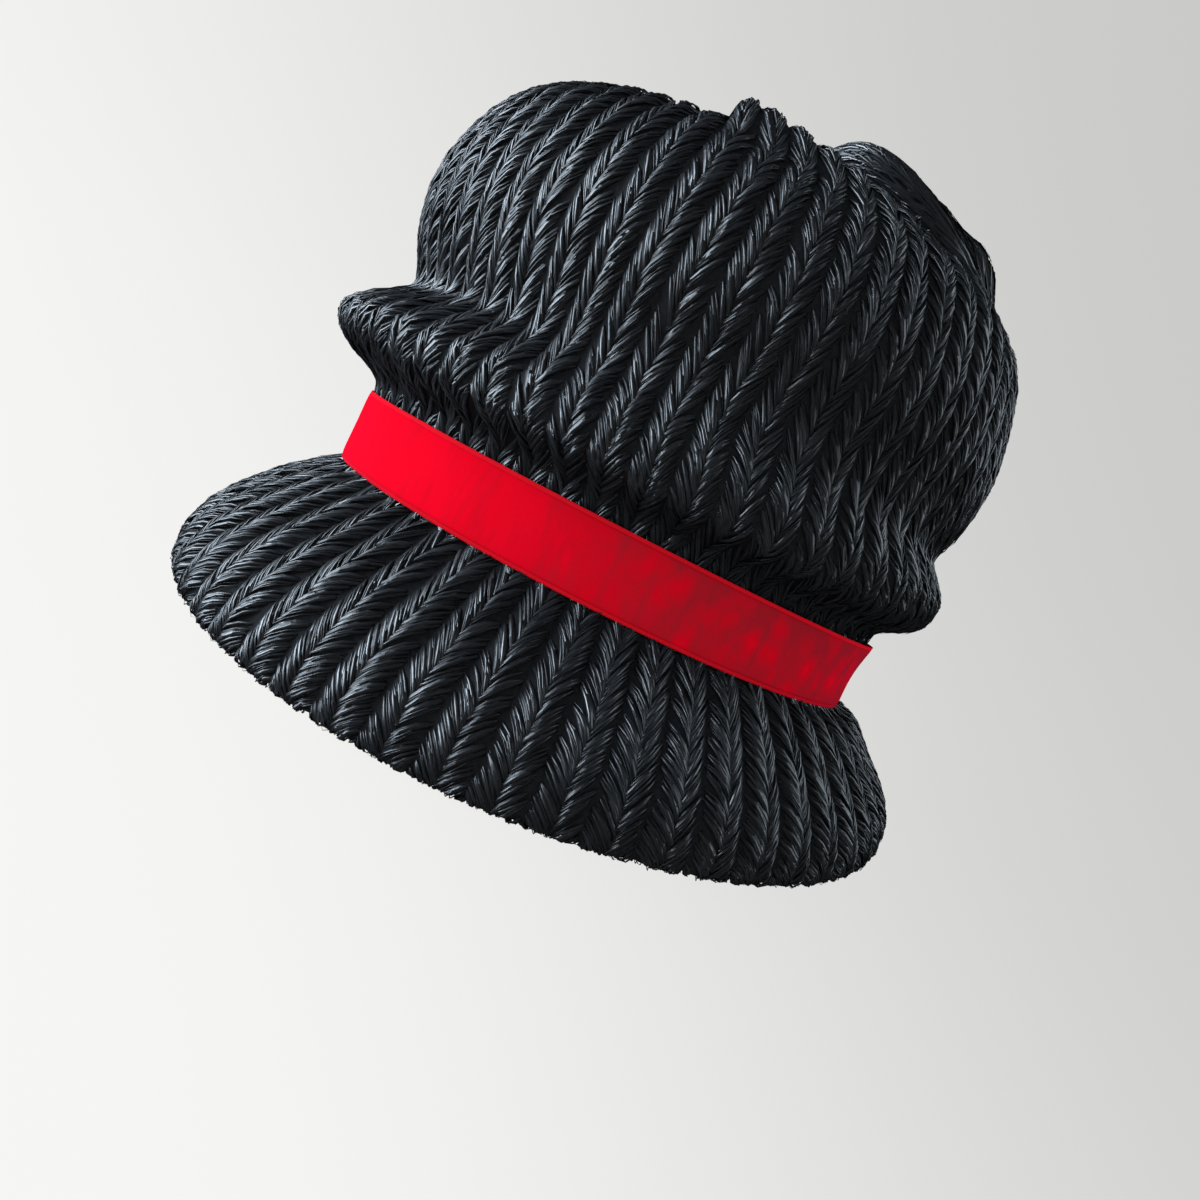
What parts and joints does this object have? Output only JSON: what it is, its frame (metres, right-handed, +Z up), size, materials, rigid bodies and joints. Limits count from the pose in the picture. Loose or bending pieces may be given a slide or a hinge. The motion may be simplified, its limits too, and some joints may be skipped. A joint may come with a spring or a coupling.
{
  "type": "bubble hat",
  "caption": "Woman's bubble hat of glossy black chevron straw: ribbed crown pouched over a red velvet ribbon, drawn tip, bell brim deeper in front.",
  "frame": {"origin": "on the surface that the hat stands on, under the middle of the brim's edge", "axes": "+Z up, -Y towards the front of the hat, +X towards the wearer's left"},
  "size_m": [0.2438, 0.2566, 0.1834],
  "materials": {
    "straw": "glossy black chevron straw",
    "velvet": "red velvet ribbon"
  },
  "bodies": {
    "root": {"crown": "straw", "brim": "straw", "band": "velvet"}
  },
  "joints": []
}
